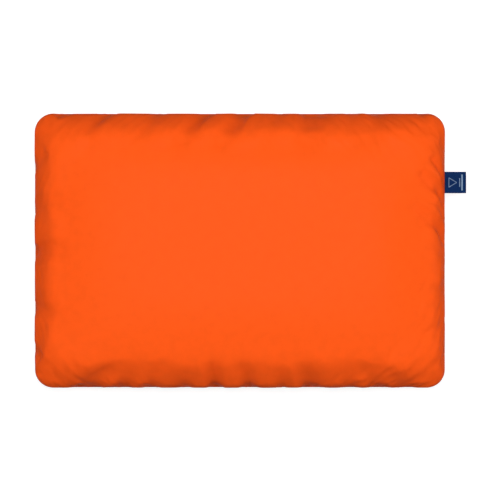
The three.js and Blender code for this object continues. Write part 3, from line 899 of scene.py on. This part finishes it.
def cloth_by_zip(x, up):
    """A place on the cloth, measured up from the chain's line, and the directions up and out of the cloth."""
    arcs = [ZIP_ARC - up + step for step in (0, -MM, MM)]
    (inset, drop), (before, above), (after, below) = (along_slope(BOTTOM, arc) for arc in arcs)
    steep = Vector((0, before - after, below - above)).normalized()
    return Vector((x, inset - HALF_WIDTH, SEAM_HEIGHT - drop)), steep, Vector((1, 0, 0)).cross(steep)


ZIP_MIDDLE, ZIP_UP, ZIP_OUT = cloth_by_zip(0, 0)
CHAIN_END = 165 * MM
TAPE_END = 174 * MM
TAPE_FACE, TAPE_BACK = -1.3 * MM, -1.8 * MM  # from the cloth's outer face
TAPE_RIB = 0.12 * MM
COIL_PITCH = 1.4 * MM
COIL_WIRE = 0.28 * MM
COIL_NEAR, COIL_FAR = 0.36 * MM, 3.3 * MM  # from the chain's middle, clear of the slider's divider
COIL_BASE, COIL_TOP = -1.15 * MM, 0.9 * MM


def by_zip(x, up, out):
    return Vector((x, 0, 0)) + ZIP_MIDDLE + ZIP_UP * float(up) + ZIP_OUT * float(out)


def on_tape(x, up, out):
    """A place that follows the cloth's curve above and below the chain."""
    place, _, outward = cloth_by_zip(x, up)
    return place + outward * float(out)


def zip_tape(side):
    """A tape with a rib along its outer edge and a cord along the edge that carries the teeth."""
    section = []
    inner, outer = [0.38, 0.6, 1.2, 1.7, 2.2], [12.4, 12.8, 13.4, 13.85, 14]
    ups = np.concatenate([inner, np.linspace(3, 12, 10), outer]) * MM
    for up in ups:
        ridge = TAPE_RIB * (np.exp(-(((up - 1.3 * MM) / (0.5 * MM)) ** 2)) + (12.6 * MM < up < 13.9 * MM))
        section.append((up, TAPE_FACE + ridge))
    section += [(up, TAPE_BACK) for up in ups[::-1]]
    stations = []
    for x in np.linspace(-TAPE_END, TAPE_END, 117):
        wave = 0.06 * MM * math.sin(x / (9 * MM))
        stations.append([on_tape(x, side * up, out + wave) for up, out in section[::side]])
    return loft(stations)


def zip_coil(side):
    """A row of teeth: a nylon coil whose turns swell into heads next to the chain's middle."""
    middle, reach = (COIL_NEAR + COIL_FAR) / 2, (COIL_FAR - COIL_NEAR) / 2 - COIL_WIRE
    level, rise = (COIL_BASE + COIL_TOP) / 2, (COIL_TOP - COIL_BASE) / 2 - COIL_WIRE
    steps = 12
    turns = int(2 * CHAIN_END / COIL_PITCH)
    angle = np.arange(turns * steps + 1) * 2 * math.pi / steps
    x = np.linspace(-CHAIN_END, CHAIN_END - COIL_PITCH, len(angle)) + COIL_WIRE + (side > 0) * COIL_PITCH / 2
    near = (1 - np.cos(angle)) / 2
    squared = [np.sign(f(angle)) * np.abs(f(angle)) ** 0.75 for f in (np.cos, np.sin)]
    path = [by_zip(a, side * (middle + reach * b), level + rise * c) for a, b, c in zip(x, *squared)]
    return tube(path, COIL_WIRE * (0.85 + 0.15 * near), 6, (1, 0, 0))


def finished_copy(name, node, width):
    """A CAD piece's own shape with its edges rounded."""
    mesh = bpy.data.objects[node].data.copy()
    shape = bmesh.new()
    shape.from_mesh(mesh)
    bmesh.ops.remove_doubles(shape, verts=shape.verts, dist=0.001 * MM)
    bmesh.ops.dissolve_limit(shape, angle_limit=math.radians(2), verts=shape.verts, edges=shape.edges)
    edges = [edge for edge in shape.edges if len(edge.link_faces) == 2 and edge.calc_face_angle() > 0.5]
    bmesh.ops.bevel(shape, geom=edges, offset=width, segments=2, profile=0.5, affect="EDGES",
                    clamp_overlap=True)
    shape.to_mesh(mesh)
    shape.free()
    mesh.shade_smooth()
    mesh.set_sharp_from_angle(angle=math.radians(28))
    return new_object(name, mesh)


def window_stitches(cover):
    """The row of topstitching that holds the tapes, on the cloth round the window."""
    mesh = cover.data
    corners = [vertex.co.copy() for vertex in mesh.vertices]
    tree = BVHTree.FromPolygons(corners, [tuple(face.vertices) for face in mesh.polygons])
    ring = window_outline(WINDOW_STITCH_LINE, 0.9 * MM)
    path, normals = [], []
    for place in on_body(BOTTOM, *columns(ring + ring[:1])):
        spot = Vector(place)
        away = Vector((0, spot.y - ZIP_MIDDLE.y, spot.z - ZIP_MIDDLE.z))
        out = (ZIP_OUT + 0.02 * away).normalized()
        hit, normal, _, _ = tree.ray_cast(spot + 6 * MM * out, -out)
        path.append(hit or spot)
        normals.append(normal or out)
    return stitches(path, normals, WINDOW_STITCH)


def add_metal(metal, name, node, body="pillow", width=0.3 * MM):
    dress(finished_copy(name, node, width), metal, body, "zip_metal", node)


def add_zip(looks, cover):
    for side, name in ((1, "upper"), (-1, "lower")):
        tape = made("fastener_tape_" + name, zip_tape(side))
        dress(tape, looks["zip_tape"], "pillow", "zip_tape", "zip_tape_" + name)
        coil = made("fastener_teeth_" + name, zip_coil(side))
        dress(coil, looks["nylon"], "pillow", "zip_coil", "zip_coil_" + name)
        add_metal(looks["metal"], "top_stop_" + name, "zip_top_stop_" + name)
    add_metal(looks["metal"], "bottom_stop", "zip_bottom_stop")
    add_metal(looks["metal"], "slider_body", "zip_slider", "slider", 0.22 * MM)
    add_metal(looks["metal"], "pull_tab", "zip_pull_tab", "pull", 0.25 * MM)
    thread = made("window_stitching", window_stitches(cover))
    dress(thread, looks["thread"], "pillow", "cover_fabric")


# ---- The labels ----

LABEL_LENGTH, LABEL_WIDTH = 24 * MM, 24 * MM
LABEL_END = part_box("woven_label")[1].x
LABEL_THICKNESS = 0.9 * MM
LABEL_TAPE = 0.4 * MM
LABEL_CLOSED = 0.17 * MM  # half of its thickness in the seam
LABEL_TAIL = 8 * MM  # how far it runs into the seam


def label_curl(x, y):
    """How far the label has bent up since it was sewn, from where it leaves the seam."""
    out = max(0, x - HALF_LENGTH - 2 * MM) / LABEL_LENGTH
    across = (y - LABEL_PLACE) / LABEL_WIDTH
    return (1.1 * out * out + 0.5 * out * across - 0.5 * out * across * across) * MM


def folded_label():
    """Two layers of tape, folded over at the outer end, that close up to pass through the seam."""
    fold = LABEL_END - LABEL_THICKNESS / 2
    start = HALF_LENGTH - LABEL_TAIL

    def half(x):
        opened = float(smooth(HALF_LENGTH - 1.2 * MM, HALF_LENGTH, x))
        return LABEL_CLOSED + (LABEL_THICKNESS / 2 - LABEL_CLOSED) * opened

    in_seam, outside = np.linspace(start, HALF_LENGTH - 1.6 * MM, 6), np.linspace(HALF_LENGTH - MM, fold, 44)
    xs = np.concatenate([in_seam, outside])
    turn = np.linspace(0, math.pi, 9)[1:-1]
    outer = [(x, half(x)) for x in xs]
    outer += [(fold + LABEL_THICKNESS / 2 * math.sin(a), LABEL_THICKNESS / 2 * math.cos(a)) for a in turn]
    outer += [(x, -half(x)) for x in xs[::-1]]
    slit = LABEL_THICKNESS / 2 - LABEL_TAPE
    inner = [(x, -min(slit, half(x) * 0.3)) for x in xs]
    inner += [(fold + slit * math.sin(a), -slit * math.cos(a)) for a in turn]
    inner += [(x, min(slit, half(x) * 0.3)) for x in xs[::-1]]
    stations = []
    for share in np.linspace(0, 1, 31):
        y = LABEL_PLACE + (share - 0.5) * LABEL_WIDTH
        edge = 1 - 0.35 * smooth(0.46, 0.5, abs(share - 0.5))
        stations.append([(x, y, SEAM_HEIGHT + h * edge + label_curl(x, y)) for x, h in outer + inner])
    return loft(stations)


BAR_SECTION = [(-1, 0.02), (-0.7, 0.12), (0, 0.17), (0.7, 0.12), (1, 0.02), (0, -0.02)]  # heights in mm


def bar_on_label(ax, ay, bx, by, width):
    """A raised satin-stitched bar between two places on the label, as shares of its length and width."""
    count = 12
    share = np.linspace(0, 1, count)
    xs = HALF_LENGTH + (ax + (bx - ax) * share) * LABEL_LENGTH
    ys = LABEL_PLACE + (ay + (by - ay) * share - 0.5) * LABEL_WIDTH
    side = Vector((ys[0] - ys[-1], xs[-1] - xs[0])).normalized() * (width / 2)
    stations = []
    for x, y in zip(xs, ys):
        station = []
        for across, height in BAR_SECTION:
            px, py = x + side.x * across, y + side.y * across
            level = SEAM_HEIGHT + LABEL_THICKNESS / 2 + height * MM + label_curl(px, py)
            station.append((px, py, level))
        stations.append(station)
    return loft(stations)


def label_motif():
    """A plain tent-like triangle, and two plain bars."""
    corners = [(0.2, 0.28), (0.2, 0.72), (0.56, 0.5)]
    thin, wide = 0.7 * MM, 1.7 * MM
    bars = [bar_on_label(*a, *b, thin) for a, b in zip(corners, corners[1:] + corners[:1])]
    bars.append(bar_on_label(0.7, 0.3, 0.7, 0.7, 0.6 * wide))
    bars.append(bar_on_label(0.81, 0.13, 0.81, 0.87, wide))
    return joined(bars)


def add_label(looks):
    label = made("end_label", folded_label())
    dress(label, looks["label"], None, "label_fabric", "woven_label")
    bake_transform(label)
    dress(made("label_motif", label_motif()), looks["motif"], "label", "label_fabric")


def care_label_shape():
    """A blank tape that hangs inside the back of the cover and curls a little."""
    low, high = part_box("care_label")
    stations = []
    for drop in np.linspace(0, 1, 16):
        z = high.z + (low.z - high.z) * drop
        row = []
        for side in (1, -1):
            for share in np.linspace(0, 1, 16)[::side]:
                x = low.x + (high.x - low.x) * share
                curl = 2.6 * MM * drop * drop * (0.4 + (2 * share - 1) ** 2 * 0.6)
                row.append((x, (low.y + high.y) / 2 - curl + side * 0.2 * MM, z))
        stations.append(row)
    return loft(stations)


# ---- Inside the cover ----

BINDING_NEAR, BINDING_FAR = 6 * MM, 9.6 * MM  # from the seam's outline, before the binding turns back
BINDING_OUT, BINDING_IN = 1.75 * MM, 1.05 * MM  # its outer and inner faces' heights from the seam's plane
BINDING_TURN_OUT, BINDING_TURN_IN = 1.3 * MM, 0.75 * MM  # how far those faces bulge where it turns back
BINDING_STITCH_LINE, BINDING_STITCH = 7.2 * MM, 3.2 * MM  # from the outline, and a stitch's length
LINER_INSET, LINER_DEPTH, LINER = 13 * MM, 2.9 * MM, 0.6 * MM  # smaller than the cover all round, and above
WRAP_INSET, WRAP_DEPTH, WRAP = 14.2 * MM, 4.6 * MM, 7 * MM
FOAM_INSET, FOAM_DEPTH = 22.4 * MM, 12.4 * MM
LINER_FIRST, WRAP_FIRST, FOAM_FIRST = 0.4 * MM, 1.2 * MM, 0.4 * MM  # the arc lengths at which they begin
LINER_LUMPS, WRAP_LUMPS, FOAM_LUMPS = 1.2 * MM, 0.7 * MM, 0.5 * MM


def outline_places(spacing):
    """Stretches and shares spread evenly round the pillow's outline."""
    places = []
    for stretch, length in enumerate(stretch_lengths(HALF_LENGTH, HALF_WIDTH, CORNER_RADIUS)):
        count = round(length / spacing)
        places += [(stretch, i / count) for i in range(count)]
    return columns(places)


def binding_shape():
    """A tape folded over the raw edges of both cloths."""
    turn = np.linspace(0, math.pi, 9)[1:-1]
    outer = [(BINDING_NEAR + share * (BINDING_FAR - BINDING_NEAR), BINDING_OUT) for share in (0, 0.1, 0.5, 1)]
    outer += [(BINDING_FAR + BINDING_TURN_OUT * math.sin(a), BINDING_OUT * math.cos(a)) for a in turn]
    outer += [(inset, -height) for inset, height in outer[3::-1]]
    inner = [(BINDING_NEAR, -BINDING_IN), (BINDING_FAR, -BINDING_IN)]
    inner += [(BINDING_FAR + BINDING_TURN_IN * math.sin(a), -BINDING_IN * math.cos(a)) for a in turn]
    inner += [(BINDING_FAR, BINDING_IN), (BINDING_NEAR, BINDING_IN)]
    places = outline_places(6 * MM)
    rings = [outline_ring(inset, SEAM_HEIGHT + height, places) for inset, height in outer + inner]
    stations = [[ring[i] for ring in rings] for i in range(len(rings[0]))]
    points, faces = loft(stations, capped=False)
    count, last = len(rings), (len(stations) - 1) * len(rings)
    faces += [(last + j, last + (j + 1) % count, (j + 1) % count, j) for j in range(count)]
    return points, faces


def binding_stitches():
    path = outline_ring(BINDING_STITCH_LINE, SEAM_HEIGHT + BINDING_OUT, outline_places(2 * MM))
    path = np.concatenate([path, path[:1]])
    return stitches(path, np.tile((0, 0, 1), (len(path), 1)), BINDING_STITCH)


def soft_shell(name, slope, thickness, lump, seed):
    """Half of an inner layer, a little lumpy, as thick as it is given."""
    points = ring_points(slope, 6 * MM, 10 * MM)
    faces = flat_faces(slope, points)
    arc, stretch, share = columns(points)
    body = on_body(slope, arc, stretch, share)
    shift = Vector((seed, seed, seed))
    rise = [lump * max(0, noise.noise(Vector(place) * 28 + shift)) for place in body]
    rise = np.array(rise) * smooth(4 * MM, 25 * MM, arc)
    piece = mesh_object(name, body + rise[:, None] * outward_normals(body, faces), faces)
    thicken(piece, thickness)
    return piece


def foam_shape():
    """The foam block, whose edges are cut round, with a slightly uneven skin."""
    places = outline_places(8 * MM)
    stations = []
    for side in (-1, 1):
        slope = half_shell(side, FOAM_INSET, FOAM_DEPTH)
        rings = []
        for arc in np.linspace(FOAM_FIRST, slope["table"]["length"] + 8 * MM, 18):
            half_x, half_y, radius, height = body_ring(slope, arc)
            x, y = on_ring(half_x, half_y, radius, *places)
            rings.append([Vector((a, b, height)) for a, b in zip(x, y)])
        stations += rings[::side]
    for station in stations:
        for place in station:
            place += FOAM_LUMPS * noise.noise(place * 45) * Vector((0, 0, 1))
    return loft(stations)


def add_inside(looks):
    binding = made("seam_tape", binding_shape())
    dress(binding, looks["binding"], "pillow", "binding_tape", "cover_seam_binding")
    thread = made("seam_stitching", binding_stitches())
    dress(thread, looks["thread"], "pillow", "binding_tape")
    care = made("inside_tape", care_label_shape())
    dress(care, looks["care"], "pillow", "care_tape", "care_label")
    for side, name in ((1, "top"), (-1, "bottom")):
        slope = half_shell(side, LINER_INSET, LINER_DEPTH, LINER_FIRST)
        liner = soft_shell("liner_" + name, slope, LINER, LINER_LUMPS, 3 + side)
        dress(liner, looks["liner"], "pillow", "liner_fabric", f"liner_{name}_panel")
        slope = half_shell(side, WRAP_INSET, WRAP_DEPTH, WRAP_FIRST)
        wrap = soft_shell("fibre_" + name, slope, WRAP, WRAP_LUMPS, 11 + side)
        dress(wrap, looks["fibre"], "pillow", "fibre", "fibre_wrap_" + name)
    foam = made("core", foam_shape())
    dress(foam, looks["foam"], "pillow", "foam", "foam_core")


# ---- Camera, light and floor ----

FRAME_WIDTH = 0.5585  # of the view at the seam's height
VIEW_MIDDLE = 0.01115, 0.0006
LENS, SENSOR = 200, 36
LIGHTS = [  # name, place, size and power
    ("overhead", (0, 0.25, 2.3), (1, 1), 50.5),
    ("left_fill", (-2.25, 0, 0.92), (1.2, 0.8), 10),
    ("right_fill", (2.25, 0, 0.92), (1.2, 0.8), 16),
]
LIT = 0, 0, 0.1  # what the lights point at
WORLD_LIGHT = 0.11
ROOM_RADIUS, ROOM_REACH = 12, 0.55 * math.pi  # its reach is the angle from straight up to its lower edge


def add_camera():
    data = bpy.data.cameras.new("camera")
    data.lens = LENS
    data.sensor_width = SENSOR
    data.clip_end = 20
    camera = new_object("camera", data)
    camera.location = (*VIEW_MIDDLE, SEAM_HEIGHT + FRAME_WIDTH * LENS / SENSOR)
    bpy.context.scene.camera = camera


def add_light(name, place, size, power):
    data = bpy.data.lights.new(name, "AREA")
    data.shape = "RECTANGLE"
    data.size, data.size_y = size
    data.energy = power
    data.specular_factor = 0.4
    light = new_object(name, data)
    light.location = place
    light.rotation_euler = (Vector(LIT) - Vector(place)).to_track_quat("-Z", "Y").to_euler()
    light.visible_camera = False


def add_world(strength):
    world = bpy.data.worlds.new("world")
    world.use_nodes = True
    sockets = world.node_tree.nodes["Background"].inputs
    sockets["Color"].default_value = (1, 1, 1, 1)
    sockets["Strength"].default_value = strength
    bpy.context.scene.world = world


def glowing(name, emission, diffuse):
    look = Look(name, (diffuse, diffuse, diffuse), 1, 0)
    look.set("Emission Color", (1, 1, 1, 1))
    look.set("Emission Strength", emission)
    return look.material


def room(radius, rows, sides):
    """A round room, whose wall goes down to a little below the floor."""
    points = [(0, 0, radius)]
    for polar in np.linspace(0, ROOM_REACH, rows + 1)[1:]:
        out, height = radius * math.sin(polar), radius * math.cos(polar)
        turn = np.arange(sides) * 2 * math.pi / sides
        points += [(out * math.cos(a), out * math.sin(a), height) for a in turn]
    faces = [(0, 1 + j, 1 + (j + 1) % sides) for j in range(sides)]
    for first in range(1, (rows - 1) * sides, sides):
        for a, b in zip(range(first, first + sides), [*range(first + 1, first + sides), first]):
            faces.append((a, a + sides, b + sides, b))
    return points, faces


def painted(name, shape, emission, diffuse, smoothly=False):
    piece = mesh_object(name, *shape, smoothly)
    piece.data.materials.append(glowing(name + "_paint", emission, diffuse))
    return piece


def add_stage():
    """A pale floor, the light that it throws back, and a white room round it."""
    square = [(-6, -6, 0), (6, -6, 0), (6, 6, 0), (-6, 6, 0)], [(0, 1, 2, 3)]
    floor = painted("floor", square, 0.8, 0.35)
    floor.location.z = -0.5 * MM
    bounce = painted("floor_bounce", square, 0, 0.33)
    bounce.location.z = -MM
    bounce.visible_camera = False
    backdrop = painted("backdrop", room(ROOM_RADIUS, 16, 32), 1, 0, True)
    for piece in (floor, backdrop):
        piece.visible_diffuse = piece.visible_glossy = piece.visible_shadow = False


bpy.context.scene.view_settings.view_transform = "Standard"
add_camera()
add_world(WORLD_LIGHT)
for light in LIGHTS:
    add_light(*light)
add_stage()
looks = all_looks()
lower_cover = add_cover(looks["cover"])
add_zip(looks, lower_cover)
add_label(looks)
add_inside(looks)
